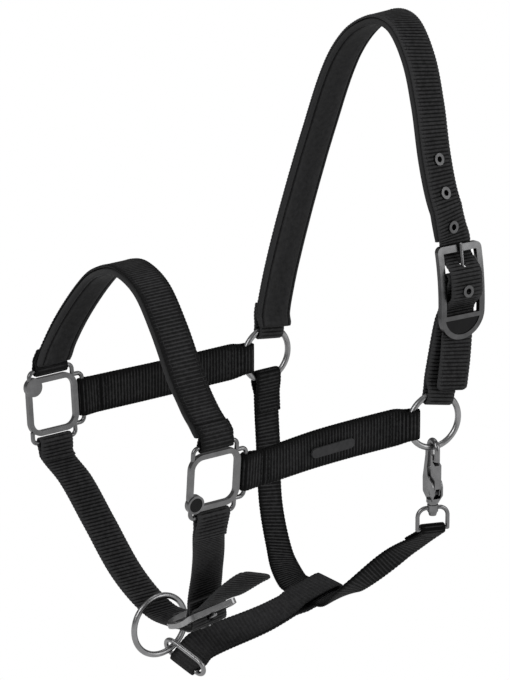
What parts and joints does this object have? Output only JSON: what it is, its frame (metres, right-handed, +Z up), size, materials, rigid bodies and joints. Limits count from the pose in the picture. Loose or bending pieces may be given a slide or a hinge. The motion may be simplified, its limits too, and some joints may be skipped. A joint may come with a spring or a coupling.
{
  "type": "head halter",
  "caption": "Webbing headcollar for a horse with padded crown and noseband, cheek rings, corner squares, chin buckle, crown buckle, lead ring and a throat strap with a swivel hook.",
  "frame": {"origin": "underside of the crown lining at the top of the arch, where it rests on the poll", "axes": "+Z up, +X to the near side where the buckle and snap are, -Y towards the nose"},
  "size_m": [0.205, 0.2435, 0.4381],
  "materials": {
    "webbing": "ribbed",
    "lining": "smooth",
    "fittings": "satin gunmetal",
    "inlay": "gloss",
    "plate": "satin"
  },
  "bodies": {
    "halter": {"near_square": "fittings", "far_square": "fittings", "crown_buckle_frame": "fittings", "chin_buckle_frame": "fittings", "snap_bail": "fittings", "crown_eyelets": "fittings", "chin_eyelets": "fittings", "crown_webbing": "webbing", "crown_chape": "webbing", "noseband_webbing": "webbing", "near_cheek_strap": "webbing", "far_cheek_strap": "webbing", "near_chin_strap": "webbing", "far_chin_strap": "webbing", "jaw_strap": "webbing", "throat_strap": "webbing", "crown_padding": "lining", "noseband_padding": "lining", "near_square_inlay": "inlay", "far_square_inlay": "inlay", "crown_buckle_inlay": "inlay", "chin_buckle_inlay": "inlay", "cheek_badge": "plate"},
    "near_ring": {"near_ring": "fittings"},
    "far_ring": {"far_ring": "fittings"},
    "chin_ring": {"chin_ring": "fittings"},
    "jaw_link": {"jaw_link": "fittings"},
    "snap": {"snap_hook": "fittings", "snap_gate_pin": "fittings", "snap_spring": "fittings", "snap_swivel": "fittings"},
    "gate": {"snap_gate": "fittings"},
    "crown_tongue": {"crown_buckle_tongue": "fittings"},
    "chin_tongue": {"chin_buckle_tongue": "fittings"}
  },
  "joints": [
    {"name": "near_ring_spin", "type": "hinge", "parent": "halter", "child": "near_ring", "pos_m": [0.092, -0.031, -0.2422], "axis": [0.9914, -0.1305, 0], "continuous": true},
    {"name": "far_ring_spin", "type": "hinge", "parent": "halter", "child": "far_ring", "pos_m": [-0.092, -0.031, -0.2482], "axis": [1, 0, 0], "continuous": true},
    {"name": "chin_ring_spin", "type": "hinge", "parent": "halter", "child": "chin_ring", "pos_m": [-0.03, -0.163, -0.39353], "axis": [1, 0, 0], "continuous": true},
    {"name": "jaw_link_swing", "type": "hinge", "parent": "halter", "child": "jaw_link", "pos_m": [-0.02338, -0.14805, -0.42211], "axis": [0.8991, 0.2497, -0.3596], "range_deg": [0, 24]},
    {"name": "snap_swivel_turn", "type": "hinge", "parent": "halter", "child": "snap", "pos_m": [0.092, -0.031, -0.305], "axis": [0, 0, 1], "range_deg": [-25, 25]},
    {"name": "snap_gate_open", "type": "hinge", "parent": "snap", "child": "gate", "pos_m": [0.09493, -0.03162, -0.2909], "axis": [-0.2079, -0.9781, 0], "range_deg": [0, 9], "stiffness_Nm_per_rad": 0.05, "springref_deg": -17.19},
    {"name": "crown_tongue_turn", "type": "hinge", "parent": "halter", "child": "crown_tongue", "pos_m": [0.0982, -0.015, -0.1459], "axis": [0.003, 0.9996, -0.0298], "range_deg": [0, 5]},
    {"name": "chin_tongue_turn", "type": "hinge", "parent": "halter", "child": "chin_tongue", "pos_m": [0.0323, -0.1708, -0.3643], "axis": [0.1599, 0.9614, 0.224], "range_deg": [0, 5]}
  ]
}
